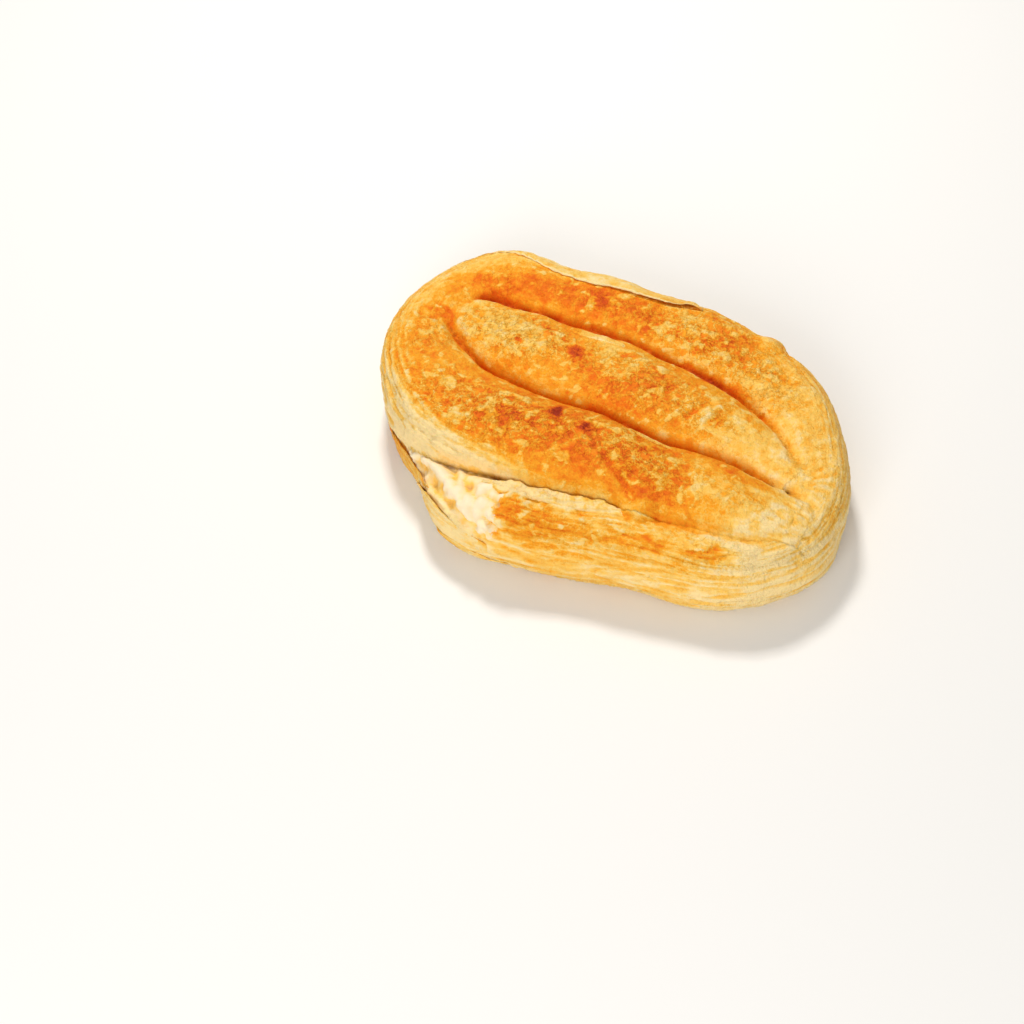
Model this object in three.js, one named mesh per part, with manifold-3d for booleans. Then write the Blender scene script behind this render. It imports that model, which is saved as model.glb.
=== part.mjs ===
// A coiled borek: one long rope of rolled, buttered dough, folded back on itself and then
// wound once round its own core into a flattened oval. All sizes are millimetres, +Z is up
// and the coil lies on z = 0 with its long axis along X.
import * as THREE from 'three';
import { mergeVertices } from 'three/addons/utils/BufferGeometryUtils.js';
import Module from 'manifold-3d';

const wasm = await Module();
wasm.setup();

// ---- driving sizes ---------------------------------------------------------------------

const SIDES = 28;            // facets round the rope
const RING_STEP = 6.5;       // distance between two rings along the rope
const END_RINGS = 5;         // rings in a rounded rope end
const LINE_SAMPLES = 40;     // samples of the rope's centreline for each station
const SAME_POINT = 1e-4;     // points closer than this are one

const WAIST = 0.44;          // where the rope is widest, as a share of its height
const ROUND_TOP = 2.7;       // 2 is an ellipse, more is fuller
const SQUARE_FOOT = 3.2;     // the baked foot is squarer than the top
const FLATTENING = 1.6;      // how much of the round underside baking has pressed flat
const UNEVENNESS = 0.022;    // share by which hand rolling leaves the rope thicker or thinner
const ROLL_LENGTH = 13.0;    // distance per radian of its slow swelling along the rope
const KNEAD_LENGTH = 7.4;    // and of the quicker one that also turns round it

// The stations are measured from the heart of the coil; the part stands on the middle of its
// own box, this far from there.
const MIDDLE_X = 4.12;
const MIDDLE_Y = 2.17;

// Stations along the dough: centre x, centre y, half width, crest height, underside height.
// The core strand lies in the middle of the coil and narrows to both ends.
const CORE_STRAND = [
  [-82, 17, 17.5, 40, 0],
  [-52, 14.5, 22.5, 42, 0],
  [-20, 14, 25.5, 44, 0],
  [10, 12.5, 24.5, 44, 0],
  [40, 11.5, 20.5, 42, 0],
  [60, 8.5, 16.5, 41, 0],
  [79, 1, 12, 37, 0],
];

// The outer strand leaves the core at the right, runs left in front of it, turns round its
// left end, comes back along the rear, sweeps round the right end and closes the front.
const FRONT_RUN = [
  [95, -17, 13.5, 36, 0],
  [82, -18.5, 17.5, 38.5, 0],
  [62, -22, 21.5, 41, 0],
  [40, -25, 22, 43, 0],
  [10, -28, 23, 45, 0],
  [-20, -31.5, 25, 45, 0],
  [-50, -31.5, 25.5, 44, 2],
];
const LEFT_TURN = [
  [-76, -22.5, 21.5, 43, 10],
  [-92, -6.5, 17.5, 42, 9],
  [-99.3, 14, 16.3, 41, 3],
  [-94.8, 33, 17.3, 41, 0],
];
const REAR_RUN = [
  [-82, 45.5, 19, 41, 0],
  [-60, 48.2, 20.2, 41.5, 0],
  [-28, 51, 21.5, 42.5, 0],
  [5, 52, 21.5, 42.5, 0],
  [32, 50.5, 21.5, 42, 0],
];
const RIGHT_TURN = [
  [54, 44.5, 20.6, 40, 0],
  [69, 34, 18.2, 39, 0],
  [81, 19.3, 16, 38, 0],
  [89.3, 2.6, 15.8, 36.5, 0],
  [91.3, -13.7, 15.8, 34, 0],
  [83, -27.7, 16, 33.5, 0],
];
const CLOSING_RUN = [
  [67, -38, 17.5, 34, 0],
  [45, -43, 17.5, 34, 0],
  [15, -50, 18.5, 34, 0],
  [-12, -56, 19.5, 34, 0],
  [-33, -57, 19, 32, 0],
];
const TAIL = [
  [-54, -46.5, 15.5, 29, 0],
  [-73, -34, 13.5, 26, 0],
  [-87, -22.5, 12, 24, 0],
];

// The outermost layer of dough has come loose along the rear crest and ends in a free point.
const LOOSE_LAYER = {
  from: 234,                 // distances along the outer strand
  to: 345,
  rootAngle: 200,            // degrees round the rope, 90 at the crest, 180 on the outside
  startAngle: 150,           // where its free edge begins,
  crestAngle: 93,            // runs along most of its length,
  tipAngle: 110,             // and ends
  thickness: 1.1,
  tipLift: 2.0,
};
const LOOSE_START = 0.25;    // share of its length over which it climbs to the crest
const LOOSE_TIP = 0.22;      // share of its length that narrows to the point
const TIP_WIDTH = 2;         // degrees left between root and edge at the point

// Round the left end the tail's crust is torn open: its rim stands up, ragged.
const TORN_RIM = {
  from: 599,
  to: 672,
  rootAngle: 212,
  edgeAngle: 166,
  raggedness: 9,             // degrees the free edge wanders
  tears: 5,
  thickness: 2.0,
};

// Lumps of torn inner dough: distance, degrees round the rope, radius.
const TORN_DOUGH = [
  [595, 116, 7.5], [603, 136, 8.5], [611, 114, 7.5], [619, 138, 8.5], [627, 118, 8.0],
  [635, 142, 8.0], [643, 122, 7.5], [651, 146, 7.0], [659, 128, 6.5],
];
// Where the front strand folds over the closing run, and a blister on the rear shoulder.
const FRONT_FOLD = [64, 148, 12.0];
const REAR_BLISTER = [377, 133, 10.5];
const LUMP_SINK = 0.72;      // share of a lump's radius that lies under the skin

// How far each rounded rope end reaches past its last station. The outer strand is two
// ropes that overlap on the rear run, so that neither crosses itself.
const CORE_TIPS = [12, 10];
const OUTER_START = 6;
const OVERLAP = 14;
const TAIL_TIP = 12;

const LAYER_STEP = 5.5;
const LAYER_ROWS = 3;
const LAYER_ROOT = 2.5;      // depth of a layer's inner face under the skin
const LUMP_SIDES = 10;
const LUMP_RINGS = 7;

// ---- the rope --------------------------------------------------------------------------

// The dough's centreline with its size at every place, both smooth through the stations.
class Dough {
  constructor(stations) {
    const places = stations.map(([x, y]) => new THREE.Vector3(x, y, 0));
    const sizes = stations.map(([, , ...size]) => new THREE.Vector3(...size));
    this.line = new THREE.CatmullRomCurve3(places, false, 'centripetal');
    this.sizes = new THREE.CatmullRomCurve3(sizes, false, 'centripetal');
    this.line.arcLengthDivisions = LINE_SAMPLES * stations.length;
    this.length = this.line.getLength();
    this.stretches = stations.length - 1;
  }

  // Distance along the rope of the station with this number.
  distanceTo(station) {
    const lengths = this.line.getLengths();
    return lengths[Math.round((station / this.stretches) * (lengths.length - 1))];
  }

  // Centre, heading and size at a distance, going straight on past either end.
  at(distance) {
    const inside = THREE.MathUtils.clamp(distance, 0, this.length);
    const t = this.line.getUtoTmapping(inside / this.length);
    const heading = this.line.getTangent(t);
    const centre = this.line.getPoint(t).addScaledVector(heading, distance - inside);
    const { x: halfWidth, y: crest, z: underside } = this.sizes.getPoint(t);
    return { centre, heading, halfWidth, crest, underside };
  }

  // A point of the rope's skin. The angle is 0 at its right side, seen along its heading,
  // and a quarter turn at its crest. size shrinks the section about its waist, and lift
  // moves the point out from the middle of the rope.
  skin(distance, angle, size = 1, lift = 0) {
    const { centre, heading, halfWidth, crest, underside } = this.at(distance);
    const swelling = Math.sin(distance / ROLL_LENGTH);
    const kneading = Math.sin(distance / KNEAD_LENGTH + 2 * angle);
    const swell = size * (1 + UNEVENNESS * (swelling + kneading));
    const foot = underside - FLATTENING;
    const waist = foot + WAIST * (crest - foot);
    const up = Math.sin(angle);
    const power = 2 / (up > 0 ? ROUND_TOP : SQUARE_FOOT);
    const tall = up > 0 ? crest - waist : waist - foot;
    const across = Math.sign(Math.cos(angle)) * Math.abs(Math.cos(angle)) ** power;
    const rise = Math.sign(up) * Math.abs(up) ** power;
    const side = across * halfWidth * swell + Math.cos(angle) * lift;
    const height = waist + rise * tall * swell + up * lift;
    return new THREE.Vector3(
      centre.x + heading.y * side,
      centre.y - heading.x * side,
      Math.max(height, 0),
    );
  }
}

// The stretch of rope between two distances, with its ends drawn in over a rounded tip.
// A capsule's straight part becomes the stretch and its two caps the ends.
function rope(dough, from, to, tipFrom, tipTo) {
  const span = to - from;
  const rings = Math.round(span / RING_STEP);
  const shape = new THREE.CapsuleGeometry(1, span, END_RINGS, SIDES, rings);
  return reshape(shape, ({ x, y, z }) => {
    const swell = Math.min(Math.hypot(x, z), 1);
    const past = Math.abs(y) - span / 2;
    const tip = Math.max(past, 0) * (y < 0 ? -tipFrom : tipTo);
    const middle = THREE.MathUtils.clamp(y + span / 2, 0, span);
    return dough.skin(from + middle + tip, Math.atan2(z, x), swell);
  });
}

// Moves every point of a geometry, then merges it into one closed solid.
function reshape(geometry, move) {
  const places = geometry.attributes.position;
  for (let i = 0; i < places.count; i++) {
    const moved = move(new THREE.Vector3().fromBufferAttribute(places, i));
    places.setXYZ(i, moved.x, moved.y, moved.z);
  }
  geometry.deleteAttribute('normal');
  geometry.deleteAttribute('uv');
  const merged = mergeVertices(geometry, SAME_POINT);
  return new wasm.Manifold(new wasm.Mesh({
    numProp: 3,
    vertProperties: merged.attributes.position.array,
    triVerts: new Uint32Array(merged.index.array),
  }));
}

// A thin layer of dough lying along the rope: a slab bent over the skin between two
// distances. Its root edge dives under the skin, its free edge stands off, and all but its
// length is a function of the share of that length, from 0 to 1.
function layer(dough, from, to, rootAngle, edgeAngle, thickness) {
  const steps = Math.round((to - from) / LAYER_STEP);
  const slab = new THREE.BoxGeometry(1, 1, 1, steps, LAYER_ROWS, 1);
  return reshape(slab, ({ x, y, z }) => {
    const along = 0.5 - x;
    const reach = y + 0.5;
    const angle = THREE.MathUtils.lerp(rootAngle(along), edgeAngle(along), reach);
    const outer = thickness(along) * reach;
    const inner = Math.min(outer - LAYER_ROOT, 0);
    const distance = THREE.MathUtils.lerp(from, to, along);
    return dough.skin(distance, THREE.MathUtils.degToRad(angle), 1, z > 0 ? outer : inner);
  });
}

// A rounded knob of dough pushed out of the skin.
function lump(dough, [distance, angle, radius]) {
  const ball = new THREE.SphereGeometry(radius, LUMP_SIDES, LUMP_RINGS);
  const centre = dough.skin(distance, THREE.MathUtils.degToRad(angle), 1, -LUMP_SINK * radius);
  return reshape(ball, (point) => point.add(centre));
}

function looseLayer(dough) {
  const { from, to, rootAngle, startAngle, crestAngle, tipAngle, thickness, tipLift } = LOOSE_LAYER;
  const { smoothstep, lerp } = THREE.MathUtils;
  const tip = (along) => smoothstep(along, 1 - LOOSE_TIP, 1);
  const edge = (along) => {
    const climb = smoothstep(along, 0, LOOSE_START);
    return lerp(lerp(startAngle, crestAngle, climb), tipAngle, along * climb);
  };
  const root = (along) => lerp(rootAngle, edge(along) + TIP_WIDTH, tip(along));
  return layer(dough, from, to, root, edge, (along) => thickness + tipLift * tip(along));
}

function tornRim(dough) {
  const { from, to, rootAngle, edgeAngle, raggedness, tears, thickness } = TORN_RIM;
  const saw = (along) => Math.abs(((along * tears) % 1) * 2 - 1) - 0.5;
  const edge = (along) => edgeAngle + raggedness * saw(along);
  return layer(dough, from, to, () => rootAngle, edge, () => thickness);
}

const core = new Dough(CORE_STRAND);
const coil = new Dough([
  ...FRONT_RUN, ...LEFT_TURN, ...REAR_RUN, ...RIGHT_TURN, ...CLOSING_RUN, ...TAIL,
]);
const meeting = coil.distanceTo(FRONT_RUN.length + LEFT_TURN.length + REAR_RUN.length);

let borek = rope(core, 0, core.length, ...CORE_TIPS);
borek = borek.add(rope(coil, 0, meeting, OUTER_START, OVERLAP));
borek = borek.add(rope(coil, meeting, coil.length, OVERLAP, TAIL_TIP));
borek = borek.add(looseLayer(coil)).add(tornRim(coil));
for (const knob of [...TORN_DOUGH, FRONT_FOLD, REAR_BLISTER]) {
  borek = borek.add(lump(coil, knob));
}

// ---- the finished part -----------------------------------------------------------------

function toGeometry(solid) {
  const mesh = solid.getMesh();
  const geometry = new THREE.BufferGeometry();
  geometry.setAttribute('position', new THREE.BufferAttribute(mesh.vertProperties, 3));
  geometry.setIndex(new THREE.BufferAttribute(mesh.triVerts, 1));
  geometry.computeVertexNormals();
  return geometry;
}

const bakedCrust = new THREE.MeshStandardMaterial({ color: 0xe39a3c, roughness: 0.55 });
const part = new THREE.Group();
const borekMesh = new THREE.Mesh(toGeometry(borek), bakedCrust);
borekMesh.name = 'borek';
borekMesh.position.set(MIDDLE_X, MIDDLE_Y, 0);
part.add(borekMesh);

export default part;
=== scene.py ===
"""A coiled borek: one long rope of rolled dough, folded back on itself, wound once round its own
core and baked golden, with its outermost layer loose at the rear and the crust torn at the left.
Lengths named in millimetres are in the rope's own frame, whose origin is the heart of the coil.
"""

import math
from collections import namedtuple

import bmesh
import bpy
import numpy as np
from mathutils import Matrix, Vector, kdtree, noise


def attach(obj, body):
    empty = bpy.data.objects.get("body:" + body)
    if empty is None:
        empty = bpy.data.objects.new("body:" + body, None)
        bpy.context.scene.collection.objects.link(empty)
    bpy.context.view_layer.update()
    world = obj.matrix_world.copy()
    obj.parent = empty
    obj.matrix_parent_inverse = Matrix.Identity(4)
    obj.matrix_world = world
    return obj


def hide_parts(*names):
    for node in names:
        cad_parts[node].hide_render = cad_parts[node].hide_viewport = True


bl_info = {
    "name": "Coiled borek",
    "version": (1, 0, 0),
    "blender": (4, 5, 0),
    "location": "View3D > Sidebar > Borek",
    "description": "A baked borek wound from one rope of rolled dough",
    "category": "Add Mesh",
}

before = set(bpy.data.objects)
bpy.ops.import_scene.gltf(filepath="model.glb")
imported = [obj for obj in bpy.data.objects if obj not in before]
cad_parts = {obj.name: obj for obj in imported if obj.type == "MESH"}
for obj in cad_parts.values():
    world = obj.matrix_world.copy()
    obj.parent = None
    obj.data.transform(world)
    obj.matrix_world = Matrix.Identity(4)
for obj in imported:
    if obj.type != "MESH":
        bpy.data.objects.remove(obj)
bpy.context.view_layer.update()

MM = 0.001
NODE = "borek"
BODY = "root"

# ---- the rope of dough ----

WAIST = 0.44            # where the rope is widest, as a share of its height
ROUND_TOP = 2.7         # 2 is an ellipse, more is fuller
SQUARE_FOOT = 3.2       # the baked foot is squarer than the top
FLATTENING = 1.6        # how much of the round underside baking has pressed flat
UNEVENNESS = 0.022      # share by which hand rolling leaves the rope thicker or thinner
ROLL_LENGTH = 13.0      # distance per radian of its slow swelling along the rope
KNEAD_LENGTH = 7.4      # and of the quicker one that also turns round it
HEART = (4.12, 2.17, 0.0)   # from the middle of the box to the heart of the coil

# Stations along the dough: centre x, centre y, half width, crest height, underside height.
CORE_STRAND = (
    (-82, 17, 17.5, 40, 0),
    (-52, 14.5, 22.5, 42, 0),
    (-20, 14, 25.5, 44, 0),
    (10, 12.5, 24.5, 44, 0),
    (40, 11.5, 20.5, 42, 0),
    (60, 8.5, 16.5, 41, 0),
    (79, 1, 12, 37, 0),
)
FRONT_RUN = (
    (95, -17, 13.5, 36, 0),
    (82, -18.5, 17.5, 38.5, 0),
    (62, -22, 21.5, 41, 0),
    (40, -25, 22, 43, 0),
    (10, -28, 23, 45, 0),
    (-20, -31.5, 25, 45, 0),
    (-50, -31.5, 25.5, 44, 2),
)
LEFT_TURN = (
    (-76, -22.5, 21.5, 43, 10),
    (-92, -6.5, 17.5, 42, 9),
    (-99.3, 14, 16.3, 41, 3),
    (-94.8, 33, 17.3, 41, 0),
)
REAR_RUN = (
    (-82, 45.5, 19, 41, 0),
    (-60, 48.2, 20.2, 41.5, 0),
    (-28, 51, 21.5, 42.5, 0),
    (5, 52, 21.5, 42.5, 0),
    (32, 50.5, 21.5, 42, 0),
)
RIGHT_TURN = (
    (54, 44.5, 20.6, 40, 0),
    (69, 34, 18.2, 39, 0),
    (81, 19.3, 16, 38, 0),
    (89.3, 2.6, 15.8, 36.5, 0),
    (91.3, -13.7, 15.8, 34, 0),
    (83, -27.7, 16, 33.5, 0),
)
CLOSING_RUN = (
    (67, -38, 17.5, 34, 0),
    (45, -43, 17.5, 34, 0),
    (15, -50, 18.5, 34, 0),
    (-12, -56, 19.5, 34, 0),
    (-33, -57, 19, 32, 0),
)
TAIL = (
    (-54, -46.5, 15.5, 29, 0),
    (-73, -34, 13.5, 26, 0),
    (-87, -22.5, 12, 24, 0),
)
SAMPLES_PER_STATION = 40
SAME_PLACE = 1e-4
CREST = math.radians(90)
SETTLE_STEPS = 4
SETTLE_PACE = 0.8
END_REACH = 14.0        # how far past its ends a rope may still own a point


def spline(points, shares):
    """A centripetal Catmull-Rom curve through points, and its direction, at shares 0 to 1."""
    last = len(points) - 1
    padded = np.vstack((2 * points[0] - points[1], points, 2 * points[-1] - points[-2]))
    first = np.minimum((shares * last).astype(int), last - 1)
    share = (shares * last - first)[:, None]
    before, start, end, after = (padded[first + step] for step in range(4))
    gap_before, gap, gap_after = (
        np.sqrt(np.linalg.norm(one - other, axis=1))[:, None]
        for one, other in ((before, start), (start, end), (end, after))
    )
    gap = np.where(gap < SAME_PLACE, 1.0, gap)
    gap_before = np.where(gap_before < SAME_PLACE, gap, gap_before)
    gap_after = np.where(gap_after < SAME_PLACE, gap, gap_after)
    leave = (start - before) / gap_before - (end - before) / (gap_before + gap)
    leave = (leave + (end - start) / gap) * gap
    arrive = (end - start) / gap - (after - start) / (gap + gap_after)
    arrive = (arrive + (after - end) / gap_after) * gap
    square = 3 * (end - start) - 2 * leave - arrive
    cube = 2 * (start - end) + leave + arrive
    place = start + share * (leave + share * (square + share * cube))
    slope = leave + share * (2 * square + 3 * share * cube)
    return place, slope


class Dough:
    """A rope's centreline and sizes, smooth through given stations."""

    def __init__(self, stations):
        stations = np.array(stations, float)
        shares = np.linspace(0.0, 1.0, SAMPLES_PER_STATION * len(stations) + 1)
        centre, heading = spline(stations[:, :2], shares)
        heading /= np.linalg.norm(heading, axis=1, keepdims=True)
        sizes, _ = spline(stations[:, 2:], shares)
        steps = np.linalg.norm(np.diff(centre, axis=0), axis=1)
        self.distances = np.concatenate(((0.0,), np.cumsum(steps)))
        self.samples = np.hstack((centre, heading, sizes))
        self.length = self.distances[-1]
        self.stretches = len(stations) - 1

    def distance_to(self, station):
        """The distance along the rope of the station with this number."""
        return self.distances[round(station / self.stretches * (len(self.distances) - 1))]

    def at(self, distance):
        """Centre, heading, half width, crest and foot at distances, straight on past the ends."""
        inside = np.clip(distance, 0.0, self.length)
        columns = [np.interp(inside, self.distances, column) for column in self.samples.T]
        heading = np.stack(columns[2:4], axis=-1)
        heading /= np.linalg.norm(heading, axis=-1, keepdims=True)
        centre = np.stack(columns[:2], axis=-1) + heading * (distance - inside)[..., None]
        half_width, crest, underside = columns[4:]
        return centre, heading, half_width, crest, underside - FLATTENING

    def skin(self, distance, angle, size=1.0, lift=0.0):
        """Points of the skin. Angle 0 is the rope's right side, a quarter turn its crest; size
        shrinks the section about its waist, and lift moves a point out from the rope's middle."""
        distance, angle = np.broadcast_arrays(np.asarray(distance, float), np.asarray(angle, float))
        centre, heading, half_width, crest, foot = self.at(distance)
        kneading = np.sin(distance / KNEAD_LENGTH + 2 * angle)
        swell = size * (1 + UNEVENNESS * (np.sin(distance / ROLL_LENGTH) + kneading))
        waist = foot + WAIST * (crest - foot)
        up, out = np.sin(angle), np.cos(angle)
        power = 2 / np.where(up > 0, ROUND_TOP, SQUARE_FOOT)
        tall = np.where(up > 0, crest - waist, waist - foot)
        side = np.sign(out) * np.abs(out) ** power * half_width * swell + out * lift
        height = waist + np.sign(up) * np.abs(up) ** power * tall * swell + up * lift
        x = centre[..., 0] + heading[..., 1] * side
        y = centre[..., 1] - heading[..., 0] * side
        return np.stack((x, y, np.maximum(height, 0.0)), axis=-1)

    def settle(self, points, distance):
        """The exact distance and angle of points that lie near these distances."""
        for _ in range(SETTLE_STEPS):
            centre, heading, *_ = self.at(distance)
            distance = distance + np.sum((points[:, :2] - centre) * heading, axis=1) * SETTLE_PACE
            distance = np.clip(distance, -END_REACH, self.length + END_REACH)
        centre, heading, half_width, crest, foot = self.at(distance)
        away = points[:, :2] - centre
        side = (away[:, 0] * heading[:, 1] - away[:, 1] * heading[:, 0]) / half_width
        waist = foot + WAIST * (crest - foot)
        height = points[:, 2] - waist
        tall = np.where(height > 0, crest - waist, waist - foot)
        power = np.where(height > 0, ROUND_TOP, SQUARE_FOOT) / 2
        up = np.sign(height) * np.abs(height / tall) ** power
        out = np.sign(side) * np.abs(side) ** power
        angle = np.arctan2(up, out)
        return distance, np.where(angle < -CREST, angle + 2 * math.pi, angle)


CORE = Dough(CORE_STRAND)
COIL = Dough(FRONT_RUN + LEFT_TURN + REAR_RUN + RIGHT_TURN + CLOSING_RUN + TAIL)
MEETING = COIL.distance_to(len(FRONT_RUN + LEFT_TURN + REAR_RUN))
# rope, from, to, and how far its rounded ends reach past either
STRETCHES = (
    (CORE, 0.0, CORE.length, 12.0, 10.0),
    (COIL, 0.0, MEETING, 6.0, 14.0),
    (COIL, MEETING, COIL.length, 14.0, 12.0),
)

# The rope's windings: the core, the outer strand up to the corner where it meets its own start,
# that corner, and the rest of it. Each row of BESIDE tells which of them lie beside that one.
CORNER = 45.0
WINDINGS = (
    (CORE, 0.0, CORE.length),
    (COIL, 0.0, MEETING - CORNER),
    (COIL, MEETING - CORNER, MEETING + CORNER),
    (COIL, MEETING + CORNER, COIL.length),
)
BESIDE = np.array((
    (False, True, False, True),
    (True, False, False, True),
    (True, False, False, False),
    (True, True, False, False),
))

# Lumps pushed out of the outer strand: distance, degrees round the rope, radius.
FRONT_FOLD = (64, 148, 12.0)
REAR_BLISTER = (377, 133, 10.5)
LUMP_SINK = 0.72        # share of a lump's radius that lies under the skin

# Soft rolls of torn inner dough: their radius, then distance and degrees of each bend.
TORN_ROLLS = (
    (3.2, (638, 149), (631, 141), (627, 132), (621, 122), (615, 120), (610, 122), (604, 126),
     (598, 127), (593, 124)),
    (2.8, (622, 116), (619, 112)),
    (1.6, (613, 94), (609, 102), (605, 111), (601, 120)),
    (2.5, (598, 104), (595, 99)),
    (1.8, (594, 92), (590, 89)),
    (2.2, (592, 108), (587, 104)),
    (1.9, (587, 95), (582, 98)),
    (2.0, (586, 113), (581, 110)),
    (3.5, (601, 138), (597, 144), (593, 151), (590, 160)),
    (2.6, (596, 131), (590, 137), (585, 140)),
    (1.7, (624, 170), (617, 160), (611, 152), (606, 157), (601, 166), (595, 175)),
    (1.1, (611, 168), (603, 177), (594, 184)),
    (1.3, (641, 170), (634, 163), (627, 156), (620, 150)),
    (2.2, (646, 150), (640, 140), (635, 138)),
    (2.0, (652, 128), (644, 122), (637, 124)),
)
# Hollows between them: distance, degrees, radius, depth.
TORN_PITS = (
    (613, 104, 2.6, 2.2), (604, 101, 1.8, 1.6), (603, 107, 1.6, 1.6), (616, 147, 3.2, 2.0),
    (624, 150, 3.0, 1.6), (606, 143, 2.4, 1.6), (590, 144, 1.8, 1.2), (599, 113, 1.6, 1.4),
    (632, 126, 2.2, 1.4), (591, 99, 1.4, 1.2), (586, 107, 1.4, 1.0),
)

# ---- browning ----

# How brown the crest is along the outer strand before its patches: distance, share.
CREST_BROWNING = (
    (0, 0.14), (14, 0.20), (32, 0.42), (62, 0.58), (146, 0.58), (190, 0.50), (225, 0.44),
    (250, 0.52), (292, 0.62), (372, 0.50), (396, 0.34), (426, 0.28), (460, 0.20), (480, 0.14),
    (502, 0.14), (527, 0.32), (557, 0.40), (588, 0.44), (602, 0.12), (628, 0.14), (642, 0.40),
    (668, 0.66),
)
CORE_BROWNING = ((0, 0.46), (30, 0.52), (60, 0.52), (100, 0.50), (130, 0.40), (158, 0.26))

# Baked patches seen from above, one of them painted groove shade: x, y, half length, half width,
# turn in degrees, how much browner.
REAR_PATCHES_AND_GROOVE_SHADE = (
    (-45, 49, 23, 8, 6, 0.4), (-20, 50, 22, 9, -4, 0.32), (-33, 48, 11, 2.6, -36, 0.24),
    (-12, 39.5, 14, 2.2, -2, 0.26), (-19, 56, 5, 2.4, -30, 0.2), (22, 52, 17, 11, -12, 0.22),
    (17, 44, 4, 3, 20, 0.22), (31, 55, 4, 3.4, 0, 0.22), (36, 43, 6, 3, -30, 0.14),
    (5, 55, 3.4, 4, 10, -0.36), (0, 45, 2.8, 4.5, 0, -0.32), (12, 49, 3, 4, 30, -0.3),
    (28, 59, 3, 2.4, 0, -0.24), (11, 38, 9, 1.6, 0, -0.2), (58, 34, 3.2, 1.8, 20, 0.26),
    # In the next row the patch at 57, 28 is painted shade on the outer strand's flank in its groove
    # with the core.
    (57, 28, 4, 1.4, 5, 0.24), (48, 45, 4, 5, 0, 0.12), (-72, 37, 15, 6, 24, 0.36),
    (-88, 34, 3, 4, 0, 0.16), (-92, 11, 8, 2, 12, 0.3), (-95, 22, 4, 9, -10, 0.1),
)
CORE_PATCHES = (
    (-64, 14, 11, 9, 0, -0.24), (-50, 11, 8, 7, -20, -0.2), (-42, 19, 12, 3, -14, 0.16),
    (3, 5, 26, 13, -4, 0.24), (0, 8, 3.2, 3, 0, 0.18), (0, -2, 6, 3, 10, 0.16),
    (18, 14, 3, 6, 0, 0.2), (10, 20, 2.4, 8, 26, 0.18), (28, 21, 9, 2.6, -32, 0.18),
    (-13, 21, 7, 5, -10, -0.3), (-8, 12, 5, 5, 0, -0.14), (33, 9, 1.8, 8, 12, 0.16),
    (38, 12, 2.2, 7, 10, -0.26), (47, 12, 2.6, 3.6, 0, -0.22), (52, 19, 9, 2.6, -26, 0.2),
    (63, 9, 12, 6, -10, -0.14),
)
FRONT_PATCHES = (
    (-5, -33, 54, 15, -2, 0.32), (-14, -27, 2.2, 3, 0, 0.24), (-35, -40, 7, 4, 10, 0.22),
    (-15, -47, 11, 3.6, 14, 0.22), (30, -19, 13, 5, -4, 0.22), (12, -17, 6, 2.6, -10, 0.16),
    (24, -35, 13, 2.4, -38, 0.28), (-25, -30, 8, 5, 0, 0.1), (40, -27, 4.6, 8, 0, 0.14),
    (-27, -20, 4, 2, 0, -0.34), (-65, -28, 3, 4, 0, -0.26), (-52, -42, 4, 4, 0, -0.34),
    (-25, -37, 4, 3, 30, -0.36), (-40, -27, 3, 3, 0, -0.28), (0, -30, 4, 2.2, 10, -0.32),
    (10, -23, 3, 3, 0, -0.22), (-8, -42, 6, 2.4, 20, -0.24), (-60, -20, 3, 2, 0, -0.2),
    (62, -11, 18, 3.4, -2, 0.34), (70, -22, 8, 3.6, 8, 0.2), (53, -28, 6, 4, 20, -0.34),
    (80, -30, 14, 6, 14, -0.1), (90, -20, 12, 10, 0, -0.04), (-68, -40, 3, 2, 0, 0.26),
    (-88, -12, 6, 12, -30, 0.08), (48, -28, 2.4, 1.2, 40, 0.3),
)
CLOSING_PATCHES = (
    (0, -66, 20, 3.6, 12, 0.24), (6, -70, 12, 1.8, 12, 0.16), (30, -60, 16, 2.8, 13, 0.1),
    (44, -55, 8, 1.8, 12, 0.24), (60, -57, 10, 1.6, 14, 0.14), (84, -42, 12, 6, 30, -0.14),
    (62, -50, 20, 5, 14, 0.14),
)
PATCHES_AND_GROOVE_SHADE = REAR_PATCHES_AND_GROOVE_SHADE + CORE_PATCHES + FRONT_PATCHES + CLOSING_PATCHES
# The darkest spots, on top of those; the long one at 30, 33 is painted shade in a groove.
SPOTS_AND_GROOVE_SHADE = (
    (-53, 9, 2.6, 2.4, 0, 0.55), (-26, 12, 2.8, 5.6, 24, 0.6), (43, 6, 1.8, 6, -18, 0.34),
    (-17, -22, 3.0, 4.8, 24, 0.85), (0, -24, 4.6, 3.0, -34, 0.7), (35, -41, 4, 3, 0, 0.34),
    # The long spot at 30, 33 in this row is painted shade in the groove between the core and the
    # rear run.
    (68, -49, 8, 2.2, 18, 0.36), (30, 33, 15, 2.6, -3, 0.4), (-33, -33, 7, 3, -20, 0.24),
)


def linear(red, green, blue):
    """A display colour, 0 to 255, as Blender's own linear one, by the sRGB curve."""
    shares = (red / 255, green / 255, blue / 255)
    return tuple(c / 12.92 if c <= 0.04045 else ((c + 0.055) / 1.055) ** 2.4 for c in shares)


# ---- what a user may change ----


def size_setting(name, description, millimetres, **limits):
    """A length that a user may change, its default in millimetres."""
    return bpy.props.FloatProperty(
        name=name, description=description, default=millimetres * MM, unit="LENGTH", **limits
    )


def angle_setting(name, description, degrees):
    """An angle that a user may change, its default in degrees."""
    return bpy.props.FloatProperty(
        name=name, description=description, default=math.radians(degrees),
        subtype="ANGLE", unit="ROTATION",
    )


def colour_setting(name, description, *display):
    """A colour that a user may change, its default as displayed, 0 to 255."""
    return bpy.props.FloatVectorProperty(
        name=name, description=description, subtype="COLOR", size=3, default=linear(*display)
    )


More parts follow.
